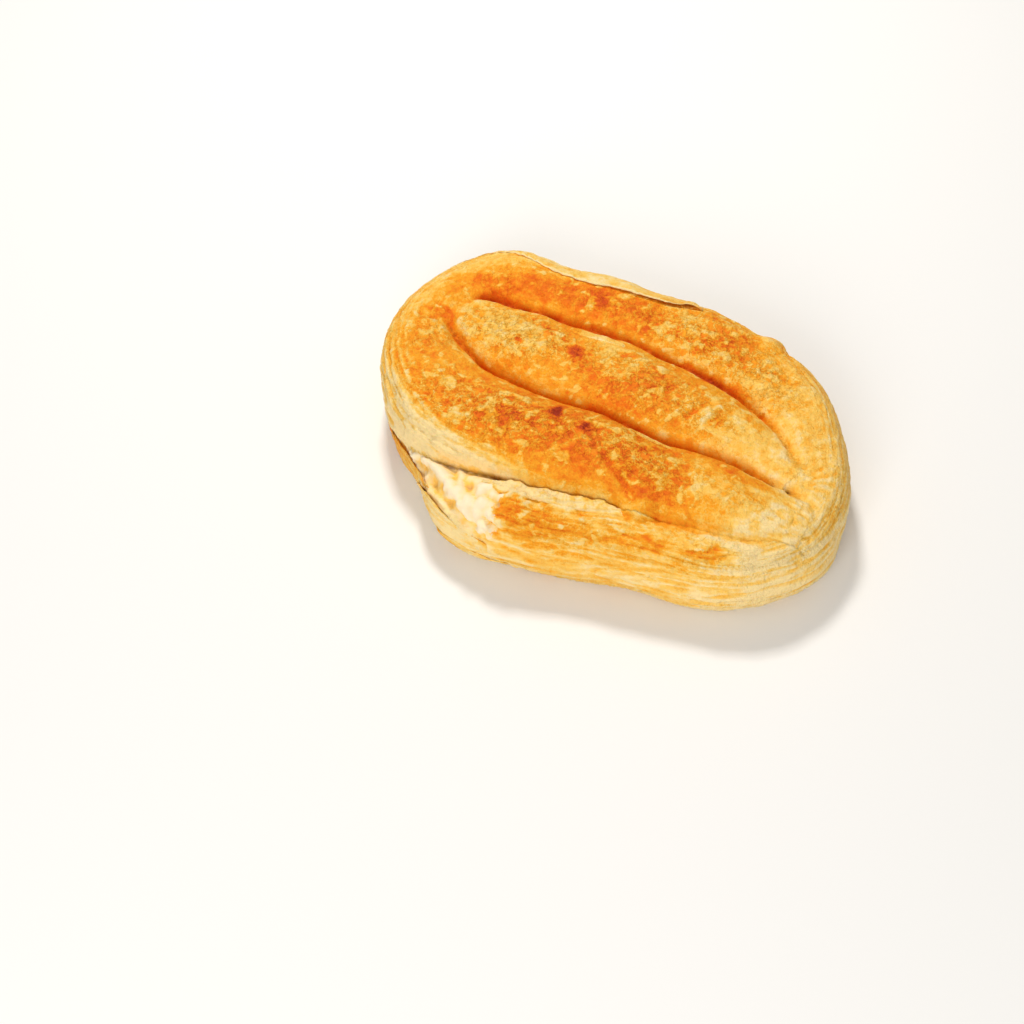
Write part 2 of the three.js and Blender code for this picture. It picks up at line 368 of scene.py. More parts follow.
class BorekSizes(bpy.types.PropertyGroup):
    """Sizes of the modelling, not of the coil itself, which follows the solid."""

    voxel: size_setting(
        "Grain of the mesh", "Width of the voxels that fuse the windings into one skin",
        1.0, min=0.7 * MM,
    )
    blister: size_setting(
        "Blisters", "Height of the blisters that baking raises on the crests", 1.0,
    )
    streak: size_setting(
        "Layer streaks", "Height of the fine ridges that rolled layers leave along the rope", 0.42,
    )
    tear: size_setting(
        "Torn relief", "Depth of the torn ground under the soft rolls at the left end", 1.5,
    )
    layer: size_setting(
        "Layer thickness", "Thickness of one loose layer of dough at its root", 0.7,
    )


class BorekColours(bpy.types.PropertyGroup):
    """Colours of baked dough, from unbaked folds to the darkest spots, the painted shade in seams
    and torn hollows, and of the floor.
    """

    cream: colour_setting("Cream", "Dough that the heat hardly reached", 255, 224, 158)
    straw: colour_setting("Straw", "Lightly baked dough", 255, 203, 96)
    golden: colour_setting("Golden", "Evenly baked crust", 250, 168, 36)
    orange: colour_setting("Orange brown", "Well baked crests", 240, 120, 14)
    rust: colour_setting("Rust", "Strongly baked patches", 218, 84, 14)
    brown: colour_setting("Red brown", "The darkest baked spots", 164, 46, 18)
    inner: colour_setting("Inner dough", "Soft dough where the crust is torn open", 250, 220, 160)
    white: colour_setting("White dough", "The highest puffs of the torn dough", 251, 231, 194)
    # Painted shade: the torn dough's pits and the low places between its rolls take this darker
    # colour.
    hollow: colour_setting("Torn hollows", "Steamed dough down in the hollows", 222, 172, 104)
    # Painted shade: this dark colour stands in for the shade deep in the narrow seams between
    # windings.
    seam: colour_setting("Seams", "Deep between windings that press together", 120, 54, 24)
    floor: colour_setting("Floor", "Colour of the floor under the borek", 243, 242, 240)


class BorekStage(bpy.types.PropertyGroup):
    """Where the camera stands."""

    azimuth: angle_setting("Camera azimuth", "Turn of the camera from the borek's front", 28.0)
    elevation: angle_setting("Camera elevation", "Angle of the camera above the floor", 47.5)
    roll: angle_setting("Camera roll", "Turn of the camera about its line of sight", 1.0)
    distance: bpy.props.FloatProperty(
        name="Camera distance", description="Distance from the camera to the coil's heart",
        default=0.801, unit="LENGTH", subtype="DISTANCE",
    )
    lens: bpy.props.FloatProperty(
        name="Lens", description="Focal length for a 36 mm wide sensor",
        default=66.03, unit="CAMERA",
    )


# ---- noise, places and meshes ----


# Noises on the dough: size of their features in millimetres, seed, octaves.
SEAM_WANDER = (9.0, 21, 2)
TEAR_WANDER = (6.0, 3, 3)
PIT_BEND = (3.2, 55, 2)
ROLL_BEND = (4.0, 51, 2)
ROLL_THICKNESS = (3.8, 54, 2)
FLAKE_BEND = (5.0, 25, 2)
FLAKE = (4.5, 24, 3)
FAN_BEND = (9.0, 22, 3)
SWELLING = (21.0, 1, 2)
WAVE = (11.0, 8, 1)
BUBBLE = (6.5, 2, 3)
CRINKLE = (4.2, 23, 3)
LIP_BUMP = (4.4, 28, 3)
LIP_BROWNING = (4.0, 29, 2)
PATCH_BEND = (8.0, 11, 3)
PEEL_BROWNING = (6.0, 41, 2)
# And those drawn out along the rope: length and width of their streaks, seed, octaves.
LAYER_LINES = (19.0, 2.2, 4, 3)
LAYER_SHEETS = (60.0, 8.0, 5, 1)
RIPPLES = (9.0, 2.6, 9, 3)
SEED_STEP = 17.37


def rough(points, size, seed, octaves=1):
    """Smooth noise, mostly within 1 of 0, at rows of points, with features about this size."""
    shifted = np.asarray(points) / size + seed * SEED_STEP
    return np.array([noise.fractal(point, 1.0, 2.0, octaves) for point in shifted.tolist()])


def drift(points, size, seed, octaves, axes=3):
    """Smooth noise in several directions, to bend what lies at the points."""
    return np.stack([rough(points, size, seed + axis, octaves) for axis in range(axes)], axis=1)


def smoothstep(value, low, high):
    """0 at low, 1 at high, smooth between; low may be above high."""
    share = np.clip((value - low) / (high - low), 0.0, 1.0)
    return share * share * (3 - 2 * share)


def bell(value, middle, width):
    """1 at the middle, falling off smoothly over about this width."""
    return np.exp(-(((value - middle) / width) ** 2))


ROPE_RADIUS = 21.0      # turns an angle round the rope into a length
CORE_APART = 900.0      # these two keep the core's streaks unlike the outer strand's
CORE_ASIDE = 50.0


class Places:
    """Where points of the dough lie: in the rope's frame, and along and round their own rope."""

    def __init__(self, points, on_coil, distance, angle, gap, pressed):
        self.points = points
        self.on_coil = on_coil
        self.distance = distance
        self.angle = np.degrees(angle)
        self.gap = gap
        self.pressed = pressed
        self.along = distance + np.where(on_coil, 0.0, CORE_APART)
        self.around = angle * ROPE_RADIUS
        self.flow = np.stack((distance, self.around, np.where(on_coil, 0.0, CORE_ASIDE)), axis=1)

    def streaks(self, length, width, seed, octaves):
        """Smooth noise drawn out along the rope."""
        return rough(self.flow / (length, width, 1.0), 1.0, seed, octaves)

    def side(self, middle, width, low, high):
        """1 near this distance, on the side that lies past these degrees round the rope."""
        return bell(self.distance, middle, width) * smoothstep(self.angle, low, high)


SPOT_STEP = 1.5         # spacing of the spots along the rope
SPOTS_ROUND = 60        # and how many lie round it
NUDGE = 0.02            # a small step, to find which way the skin faces
NEARBY = 4.0            # within this distance the skin is taken as flat


class Strand:
    """A stretch of rope as many points of its skin, to measure how far other points are from it."""

    def __init__(self, rope, start, end):
        angles = np.linspace(0, 2 * math.pi, SPOTS_ROUND, endpoint=False)
        distances, angles = np.meshgrid(np.arange(start, end, SPOT_STEP), angles, indexing="ij")
        self.distance = distances.ravel()
        angles = angles.ravel()
        self.spots = rope.skin(self.distance, angles)
        round_it = rope.skin(self.distance, angles + NUDGE) - self.spots
        along_it = rope.skin(self.distance + NUDGE, angles) - self.spots
        outward = np.cross(along_it, round_it)
        middle = rope.skin(self.distance, angles, 0.0)
        outward *= np.sign(np.sum(outward * (self.spots - middle), axis=1))[:, None]
        self.outward = outward / np.maximum(np.linalg.norm(outward, axis=1), 1e-9)[:, None]
        self.tree = kdtree.KDTree(len(self.spots))
        for index, spot in enumerate(self.spots.tolist()):
            self.tree.insert(spot, index)
        self.tree.balance()

    def reach(self, points):
        """For each point the nearest skin point's number and how far outside the skin it lies."""
        nearest = np.array([self.tree.find(point)[1] for point in points.tolist()])
        away = points - self.spots[nearest]
        flat = np.sum(away * self.outward[nearest], axis=1)
        straight = np.linalg.norm(away, axis=1)
        return nearest, np.where(straight > NEARBY, straight, flat)


def find_places(points):
    """Each point's place on its own rope, and its gap to the winding that lies beside it."""
    windings = [Strand(*winding) for winding in WINDINGS]
    nearest, gaps = (np.array(rows) for rows in zip(*(w.reach(points) for w in windings)))
    outward = np.array([w.outward[near] for w, near in zip(windings, nearest)])
    distances = np.array([w.distance[near] for w, near in zip(windings, nearest)])
    own = np.argmin(np.abs(gaps), axis=0)
    beside_gaps = np.where(BESIDE[own].T, gaps, np.inf)
    beside = np.argmin(beside_gaps, axis=0)
    everyone = np.arange(len(points))
    gap = np.maximum(beside_gaps[beside, everyone], 0.0)
    facing = np.sum(outward[own, everyone] * outward[beside, everyone], axis=1)
    distance = distances[own, everyone]
    on_coil = own > 0
    angle = np.zeros(len(points))
    for rope, chosen in ((CORE, ~on_coil), (COIL, on_coil)):
        distance[chosen], angle[chosen] = rope.settle(points[chosen], distance[chosen])
    return Places(points, on_coil, distance, angle, gap, smoothstep(facing, 0.8, 0.35))


def each_point(mesh, name):
    """What each of a mesh's points has under this name, as rows of three."""
    flat = np.empty(len(mesh.vertices) * 3)
    mesh.vertices.foreach_get(name, flat)
    return flat.reshape(-1, 3)


def mesh_points(mesh):
    """A mesh's points in millimetres in the rope's frame."""
    return each_point(mesh, "co") / MM - HEART


def set_points(mesh, points):
    """Moves a mesh's points to places in millimetres in the rope's frame, none below the floor."""
    placed = (points + HEART) * MM
    placed[:, 2] = np.maximum(placed[:, 2], 0.0)
    mesh.vertices.foreach_set("co", placed.ravel())
    mesh.update()


class Weave:
    """A mesh's edges, to smooth values kept at its points."""

    def __init__(self, mesh):
        flat = np.empty(2 * len(mesh.edges), np.int32)
        mesh.edges.foreach_get("vertices", flat)
        self.one, self.other = flat.reshape(-1, 2).T
        self.count = len(mesh.vertices)
        self.links = np.maximum(self.sum_ends(np.ones(len(self.one)), np.ones(len(self.one))), 1)

    def sum_ends(self, at_one, at_other):
        """At each point the sum of what its edges bring from their other ends."""
        total = np.bincount(self.one, at_other, self.count)
        return total + np.bincount(self.other, at_one, self.count)

    def smooth(self, values, passes):
        """Values at the points, each made the mean of its neighbours' a number of times."""
        for _ in range(passes):
            values = self.sum_ends(values[self.one], values[self.other]) / self.links
        return values

    def smooth_points(self, points, passes):
        """The same for rows of coordinates."""
        return np.stack([self.smooth(column, passes) for column in points.T], axis=1)


HOLLOW_PASSES = 6
HOLLOWEST = 3.0         # seams count as no hollower than this, or their painted cavity shade would look burnt


def hollowness(mesh):
    """How far each point lies below its surroundings, in tenths of a millimetre."""
    points = mesh_points(mesh)
    around = Weave(mesh).smooth_points(points, HOLLOW_PASSES)
    below = np.sum((around - points) * each_point(mesh, "normal"), axis=1)
    return np.minimum(below * 10, HOLLOWEST)


def place_points(shape, points):
    """Moves a bmesh's points to places in the rope's frame and turns its faces outwards."""
    for vert, spot in zip(shape.verts, points):
        vert.co = Vector((spot + HEART) * MM)
    bmesh.ops.recalc_face_normals(shape, faces=shape.faces)


def as_mesh(shape, name):
    """A mesh made of a bmesh, which is used up."""
    mesh = bpy.data.meshes.new(name)
    shape.to_mesh(mesh)
    shape.free()
    return mesh


def in_scene(name, data):
    """A new object in the scene."""
    holder = bpy.data.objects.new(name, data)
    bpy.context.scene.collection.objects.link(holder)
    return holder


def new_piece(mesh):
    """Puts a finished mesh in the scene as a smooth piece of the borek, under the mesh's name."""
    for face in mesh.polygons:
        face.use_smooth = True
    piece = in_scene(mesh.name, mesh)
    mesh.materials.append(crust_material())
    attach(piece, BODY)
    return piece


# ---- the coil ----


ROPE_SIDES = 72
RING_STEP = 1.6
CAP_RINGS = 10          # rings in each rounded tip


def rope_mesh(rope, start, end, start_tip, end_tip):
    """A closed rope: a sphere stretched from end to end, its poles the rounded tips."""
    rings = round((end - start) / RING_STEP)
    all_rings = rings + 2 * CAP_RINGS
    shape = bmesh.new()
    bmesh.ops.create_uvsphere(shape, u_segments=ROPE_SIDES, v_segments=all_rings, radius=1.0)
    ball = np.array([vert.co for vert in shape.verts])
    ring = np.arccos(np.clip(ball[:, 2], -1, 1)) / math.pi * all_rings - CAP_RINGS
    past_start = np.clip(-ring / CAP_RINGS, 0, 1) * math.pi / 2
    past_end = np.clip((ring - rings) / CAP_RINGS, 0, 1) * math.pi / 2
    distance = start + np.clip(ring / rings, 0, 1) * (end - start)
    distance += end_tip * np.sin(past_end) - start_tip * np.sin(past_start)
    size = np.cos(past_start + past_end)
    angle = np.arctan2(ball[:, 1], ball[:, 0])
    place_points(shape, rope.skin(distance, angle, size))
    return shape


def lump_mesh(distance, degrees, radius):
    """A rounded knob of dough pushed out of the outer strand's skin."""
    shape = bmesh.new()
    centre = COIL.skin(distance, math.radians(degrees), 1.0, -LUMP_SINK * radius)
    place = Matrix.Translation(Vector((centre + HEART) * MM))
    bmesh.ops.create_icosphere(shape, subdivisions=4, radius=radius * MM, matrix=place)
    return shape


def fused(shapes, voxel):
    """One closed skin round overlapping closed shapes."""
    gathered = bmesh.new()
    for shape in shapes:
        winding = as_mesh(shape, "winding")
        gathered.from_mesh(winding)
        bpy.data.meshes.remove(winding)
    mesh = as_mesh(gathered, "windings")
    holder = in_scene("windings", mesh)
    remesh = holder.modifiers.new("fuse", "REMESH")
    remesh.mode = "VOXEL"
    remesh.voxel_size = voxel
    seen = holder.evaluated_get(bpy.context.evaluated_depsgraph_get())
    skin = bpy.data.meshes.new_from_object(seen)
    bpy.data.objects.remove(holder)
    bpy.data.meshes.remove(mesh)
    return skin


CREVICE_WIDTH = 1.8     # from a seam to where its crevice has shallowed to a third
CREVICE_DEPTH = 4.8


def crevice(places):
    """How near each point lies to the seam where two windings press together, 0 to 1."""
    gap = places.gap + 0.3 * rough(places.points, *SEAM_WANDER)
    low = smoothstep(places.points[:, 2], 8, 20)
    return bell(gap, 0.0, CREVICE_WIDTH) * places.pressed * low


# The torn ground's lower border: distance, degrees.
TORN_BORDER = ((587, 168), (596, 166), (603, 158), (610, 150), (618, 151), (627, 160),
               (636, 166), (650, 178))


def torn_share(places):
    """How far the crust is torn away, 0 to 1, ragged below and fading into the closing run."""
    wander = rough(places.points, *TEAR_WANDER)
    distance = places.distance + 4.0 * wander
    angle = places.angle + 7.0 * wander
    along = smoothstep(distance, 584, 596)
    upper = smoothstep(angle, 72, 80)
    border = np.interp(distance, *zip(*TORN_BORDER))
    lower = smoothstep(angle, border + 4, border - 4)
    return along * upper * lower * places.on_coil


def puffs(points, size):
    """Rounded puffs about this far apart that press against each other, 0 to 1."""
    cells = [noise.voronoi(point)[0][0] for point in (points / size).tolist()]
    return 1.0 - np.clip(cells, 0.0, 1.0) ** 2


def pit_depth(points):
    """How deep the hollows between the rolls go, in millimetres."""
    points = points + 1.5 * drift(points, *PIT_BEND)
    depth = np.zeros(len(points))
    for distance, degrees, radius, deep in TORN_PITS:
        away = points - COIL.skin(distance, math.radians(degrees))
        depth += deep * bell(np.linalg.norm(away, axis=1), 0.0, radius)
    return depth


def from_line(points, start, end):
    """How far points lie from a straight line, and how far along it, 0 to 1."""
    run = end - start
    share = np.clip((points - start) @ run / (run @ run), 0, 1)
    return np.linalg.norm(points - start - share[:, None] * run, axis=1), share


def roll_height(points):
    """How high the soft rolls of torn dough stand over the skin, in millimetres."""
    thick = 0.9 + 0.6 * rough(points, *ROLL_THICKNESS)
    points = points + 1.3 * drift(points, *ROLL_BEND)
    height = np.zeros(len(points))
    for radius, *bends in TORN_ROLLS:
        distances, degrees = np.array(bends, float).T
        line = COIL.skin(distances, np.radians(degrees))
        for start, end in zip(line, line[1:]):
            off, _ = from_line(points, start, end)
            height = np.maximum(height, np.maximum((radius * thick) ** 2 - off**2, 0) ** 0.5)
    return height


TAIL_START = (562, 570)  # from here on the coil has torn dough in it
LARGE_PUFFS = 5.6
SMALL_PUFFS = 3.0


def torn_dough(places, torn, sizes):
    """How far the torn dough stands out, in millimetres, and how white it is there, its low places
    darker as painted shade.
    """
    tail = smoothstep(places.distance, *TAIL_START) * places.on_coil
    rolls = tail * roll_height(places.points)
    pits = tail * pit_depth(places.points)
    puffy = 0.6 * puffs(places.points, LARGE_PUFFS) + 0.4 * puffs(places.points, SMALL_PUFFS)
    ground = 3.0 * puffy - sizes.tear / MM - 1.6
    # Painted shade: the lower the torn dough lies, in pits and between rolls and puffs, the darker
    # its colour.
    white = 0.34 + rolls / 4.4 - 0.1 * pits + 0.9 * (puffy - 0.6)
    return rolls - pits + torn * ground, white


FAINTEST_STREAKS = 0.12


def streakiness(places):
    """How strongly the rolled layers show as lines along the rope, 0 to 1."""
    outside = 0.9 * smoothstep(places.angle, 85, 130) * smoothstep(places.distance, 90, 160)
    left = 0.95 * places.side(190, 62, 60, 95)
    closing = smoothstep(places.distance, 480, 550)
    right = 0.3 * smoothstep(places.distance, 385, 430)
    most = places.on_coil * np.maximum.reduce((outside, left, closing, right))
    return FAINTEST_STREAKS + (1.0 - FAINTEST_STREAKS) * most


def patched(plan, patches):
    """The sum of soft oval patches at places seen from above."""
    total = np.zeros(len(plan))
    for x, y, half_length, half_width, turn, amount in patches:
        cos, sin = math.cos(math.radians(turn)), math.sin(math.radians(turn))
        along = ((plan[:, 0] - x) * cos + (plan[:, 1] - y) * sin) / half_length
        across = ((plan[:, 1] - y) * cos - (plan[:, 0] - x) * sin) / half_width
        total += amount * np.exp(-((along**2 + across**2) ** 1.5))
    return total


FEWEST_FLAKES = 0.12    # how thickly they lie elsewhere
# Where flakes lie thick, seen from above: x, y, half length, half width, turn, how thick.
FLAKY = (
    (-55, 14, 26, 13, 0, 0.9), (5, 12, 30, 14, -5, 0.7), (42, 10, 14, 11, 0, 0.4),
    (-38, -33, 40, 15, 3, 0.8), (22, -25, 30, 13, -5, 0.75), (70, -22, 14, 8, 0, 0.3),
    (20, 49, 32, 13, -8, 0.7), (55, 38, 14, 10, -35, 0.6), (-25, 47, 35, 9, 0, 0.35),
    (-86, -4, 11, 15, -40, 0.45), (-80, 38, 10, 8, 30, 0.3), (70, -45, 20, 8, 15, 0.3),
    (85, 8, 10, 20, 20, 0.25), (0, -62, 40, 10, 8, 0.2),
)


def flakiness(places, torn):
    """How thickly pale flakes lie on the crust, 0 to 1."""
    spread = np.clip(patched(places.points[:, :2], FLAKY), 0.0, 1.0)
    return (FEWEST_FLAKES + (1.0 - FEWEST_FLAKES) * spread) * (1.0 - torn)


def flakes(places, flaky):
    """Above 0 where a flake stands up from the crust, below 0 between flakes."""
    bent = places.points + 1.6 * drift(places.points, *FLAKE_BEND)
    return rough(bent, *FLAKE) - 0.5 + 0.46 * flaky


def crease(points, start, end, width):
    """1 along a short line seen from above, falling off to either side and at its ends."""
    off, share = from_line(points[:, :2], np.array(start, float), np.array(end, float))
    return bell(off, 0.0, width) * smoothstep(share, 0.0, 0.2) * smoothstep(share, 1.0, 0.8)


PINCH = (84.0, -3.0)
PINCH_FOLDS = 18        # folds in a whole turn
# Creases seen from above: start, end, width, depth. A negative depth is a ridge.
CREASES = (
    ((30, 2), (36, 17), 1.2, 0.9),
    ((37, 2), (41, 18), 1.8, -0.9),
    ((45, 17), (50, 7), 1.1, 0.7),
    ((8, -31), (36, -46), 1.5, 1.3),
    ((46, -24), (50, -28), 1.1, 1.4),
    ((90, -26), (101, -20), 1.2, 0.7),
    ((-90, 6), (-99, 2), 1.3, 0.9),
    ((-88, 12), (-98, 14), 1.2, 0.8),
)


def pinches(places):
    """Wrinkles that fan out where the core's right tip is pressed into the right turn."""
    away = places.points[:, :2] - PINCH
    turn = np.arctan2(away[:, 1], away[:, 0])
    reach = np.hypot(away[:, 0], away[:, 1])
    fan = np.cos(turn * PINCH_FOLDS + 3.2 * rough(places.points, *FAN_BEND))
    return fan * bell(reach, 11, 7) * smoothstep(turn, -0.7, -0.3) * smoothstep(turn, 1.5, 1.0)


SHEETS_APART = 4.5      # how many layers' edges one rise of their noise crosses


def relief(places, normals, sizes, flaky):
    """How far each point of the crust stands out, in millimetres."""
    points = places.points
    slow = 0.6 * rough(points, *SWELLING) + 0.35 * rough(points, *WAVE)

    crinkles = 0.3 - np.abs(rough(points, *CRINKLE)) * 1.5
    bubbly = (0.65 * rough(points, *BUBBLE) + 0.4 * crinkles) * (0.5 + 0.5 * flaky)
    raised = smoothstep(flakes(places, flaky), -0.05, 0.16) - 0.3
    baked = sizes.blister / MM * (bubbly + 0.22 * raised * flaky**0.5)
    baked *= 0.3 + 0.7 * np.clip(normals[:, 2], 0, 1)

    sheets = places.streaks(*LAYER_SHEETS) * SHEETS_APART
    sheets = sheets - np.floor(sheets)
    step = 1.5 * smoothstep(sheets, 1.0, 0.84) * sheets - 0.5
    layered = streakiness(places) * (1.3 * places.streaks(*LAYER_LINES) + step)
    front_end = places.on_coil * bell(places.distance, 6, 17)
    wrinkled = 0.8 * places.side(466, 20, 100, 125) + 1.8 * places.side(165, 50, 112, 135)
    rippled = 1.3 * places.streaks(*RIPPLES) * (wrinkled + 1.1 * front_end)
    streak = sizes.streak / MM * (layered + rippled)

    folds = 0.2 * pinches(places)
    for start, end, width, depth in CREASES:
        folds -= depth * crease(points, start, end, width)

    lip = places.on_coil * bell(places.angle, 94, 12) * bell(places.distance, 572, 30)
    return slow + baked + streak + folds + 1.3 * (rough(points, *LIP_BUMP) + 0.3) * lip


DEEPEST = 0.66          # the crests brown no further than this, but for their spots
# Sides of the outer strand that stay pale: how pale, distance, reach, and from where to where
# round the rope they turn pale, in degrees.
PALE_SIDES = ((1.0, 278, 66, 85, 104), (1.9, 148, 40, 114, 136), (1.3, 618, 30, 138, 152))


def regional_browning(places, normals):
    """How far each point of the crust is baked, about 0 to 1, with painted shade in the groove
    between core and rear strand.
    """
    points = places.points
    coil = np.interp(places.distance, *zip(*CREST_BROWNING))
    core = np.interp(places.distance, *zip(*CORE_BROWNING))
    wander = 3.2 * drift(points, *PATCH_BEND, axes=2)
    plan = points[:, :2] + wander
    shade = np.where(places.on_coil, coil, core) + patched(plan, PATCHES_AND_GROOVE_SHADE)
    shade = np.where(shade > DEEPEST, DEEPEST + 0.4 * (shade - DEEPEST), shade)
    shade = shade + patched(plan, SPOTS_AND_GROOVE_SHADE)
    front_foot = 1.5 * bell(places.gap, 0.0, 6.0) * places.pressed * (places.distance < 130)
    front_foot = front_foot * smoothstep(-normals[:, 1], 0.2, 0.7)
    lip = bell(places.angle + 3.5 * wander[:, 0], 91, 11) * bell(places.distance, 570, 26)
    lip = 1.3 * lip * (1.0 + 0.8 * rough(points, *LIP_BROWNING))
    sides = [share * places.side(*side) for share, *side in PALE_SIDES]
    pale = places.on_coil * np.maximum.reduce((*sides, lip, front_foot))
    flank = smoothstep(normals[:, 2], 0.5, -0.1)
    return shade * (1.0 - 0.5 * flank) - 0.3 * pale


def dress(mesh, places, browning, torn, seam):
    """Keeps at each point what the material needs to know of the baking there, and where it paints
    shade in seams and hollows.
    """
    flaky = flakiness(places, torn)
    for name, values in (
        ("browning", browning), ("torn", torn), ("seam", seam), ("flaky", flaky),
        ("flake", flakes(places, flaky)), ("hollow", hollowness(mesh)),
        ("streaky", streakiness(places)), ("along", places.along), ("around", places.around),
    ):
        set_attribute(mesh, name, values)


def set_attribute(mesh, name, values):
    """Keeps one number at each point of a mesh for the material to read."""
    layer = mesh.attributes.new(name, "FLOAT", "POINT")
    layer.data.foreach_set("value", np.asarray(values, np.float32))


ROUNDING_PASSES = 4     # evens the skin's steps before places are found on it
SEAM_PASSES = 4
MELTED_PASSES = 110
# Where windings run smoothly into each other: middle, reach, and how far they do.
MELTED = (
    ((99.0, -15.0, 33.0), 25.0, 1.0),
    ((81.0, 5.0, 32.0), 17.0, 0.6),
)


def melt(weave, places):
    """Lets the strands' right ends run smoothly into the right turn they press against."""
    smooth = weave.smooth_points(places.points, MELTED_PASSES)
    share = np.zeros(len(places.points))
    for middle, reach, most in MELTED:
        away = np.linalg.norm(places.points - middle, axis=1)
        share = np.maximum(share, most * smoothstep(away, reach, 0.4 * reach))
    places.points = places.points + share[:, None] * (smooth - places.points)


RESTING = 0.4           # below this height the underside lies flat and has no relief


def build_coil(sizes):
    """The whole coil as one closed skin with the relief of baked dough."""
    shapes = [rope_mesh(*stretch) for stretch in STRETCHES]
    shapes += [lump_mesh(*lump) for lump in (FRONT_FOLD, REAR_BLISTER)]
    mesh = fused(shapes, sizes.voxel)
    mesh.name = "borek_coil"
    weave = Weave(mesh)
    places = find_places(weave.smooth_points(mesh_points(mesh), ROUNDING_PASSES))
    melt(weave, places)
    points = places.points
    set_points(mesh, points)
    normals = each_point(mesh, "normal")
    torn = torn_share(places)
    crust = (1.0 - 0.9 * torn) * relief(places, normals, sizes, flakiness(places, torn))
    dough, white = torn_dough(places, torn, sizes)
    raised = points + normals * (crust + weave.smooth(dough, 1))[:, None]
    # The seam mask carves the crevice here, and in the material it also paints shade deep in the
    # seams.
    seam = weave.smooth(crevice(places), SEAM_PASSES)
    raised[:, 2] -= CREVICE_DEPTH * seam
    resting = points[:, 2] < RESTING
    raised[resting] = points[resting]
    set_points(mesh, raised)
    browning = regional_browning(places, each_point(mesh, "normal"))
    dress(mesh, places, browning, torn, seam)
    set_attribute(mesh, "puff", white)
    piece = new_piece(mesh)
    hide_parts(NODE)


# ---- thin layers that stand off the coil ----

# Each peel hangs on by its root and ends in a free edge. Root and edge, in degrees round the rope,
# lift, in millimetres, and browning are given at even steps from its start to its end.
Peel = namedtuple("Peel", "name rope start end ragged seed root edge lift browning")
PEELS = (
    Peel(
        "loose_layer", COIL, 236, 347, ragged=0.7, seed=31,
        root=(200, 200, 200, 200, 196, 190, 176, 116), edge=(150, 122, 106, 100, 98, 99, 103, 112),
        lift=(0.05, 0.05, 0.1, 0.2, 0.4, 0.8, 1.4, 2.6),
        browning=(0.3, 0.28, 0.26, 0.24, 0.2, 0.22, 0.28, 0.34),
    ),
    Peel(
        "torn_rim", COIL, 672, 616, ragged=3.0, seed=32,
        root=(236, 224, 212, 200, 190, 170), edge=(186, 180, 173, 164, 158, 150),
        lift=(0.1, 0.2, 0.5, 0.9, 1.1, 1.5),
        browning=(0.42, 0.4, 0.36, 0.3, 0.22, 0.16),
    ),
    Peel(
        "torn_flap", COIL, 626, 590, ragged=2.5, seed=33,
        root=(180, 192, 196, 200, 200, 190), edge=(173, 161, 153, 160, 170, 178),
        lift=(1.4, 1.8, 2.0, 1.4, 0.6, 0.05),
        browning=(0.2, 0.08, 0.02, 0.0, 0.04, 0.1),
    ),
    Peel(
        "foot_flap", COIL, 610, 578, ragged=2.5, seed=34,
        root=(200, 220, 224, 222, 216, 206), edge=(186, 188, 192, 198, 202, 206),
        lift=(0.5, 0.3, 0.15, 0.1, 0.05, 0.05),
        browning=(0.2, 0.1, 0.06, 0.04, 0.06, 0.12),
    ),
    Peel(
        "closing_lip", COIL, 530, 600, ragged=2.2, seed=35,
        root=(96, 99, 100, 101, 102, 100), edge=(92, 90, 89, 88, 89, 93),
        lift=(0.05, 0.2, 0.4, 0.5, 0.4, 0.1),
        browning=(0.14, 0.1, 0.06, 0.04, 0.02, 0.0),
    ),
    Peel(
        "front_lip", COIL, 58, 82, ragged=1.6, seed=36,
        root=(60, 62, 62, 62, 61, 59), edge=(59, 55, 53, 54, 55, 58),
        lift=(0.0, 0.1, 0.3, 0.3, 0.1, 0.0),
        browning=(0.46, 0.3, 0.14, 0.14, 0.3, 0.44),
    ),
    Peel(
        "seam_flake", CORE, 44, 72, ragged=2.6, seed=37,
        root=(112, 108, 106, 107, 109, 113), edge=(114, 117, 119, 120, 118, 114),
        lift=(0.0, 0.15, 0.4, 0.4, 0.15, 0.0),
        browning=(0.44, 0.3, 0.2, 0.2, 0.3, 0.42),
    ),
)
PEEL_STEP = 0.8         # spacing of a peel's points along the rope
PEEL_ROWS = 26          # and how many lie from its root to its edge
ROOT_DIVE = 1.6         # how far a peel's root lies under the skin
DIVE_SHARE = 0.3        # share of its width over which it comes up
END_DIVE = 1.2          # how far its two ends lie lower than the rest
PEEL_CLEARANCE = 0.35   # keeps its upper side clear of the crust under it
TEAR_SIZE = 8.0         # length of the tears in its edge
FLUTTER = (7.0, 9.0)    # length of its waves along and across the rope


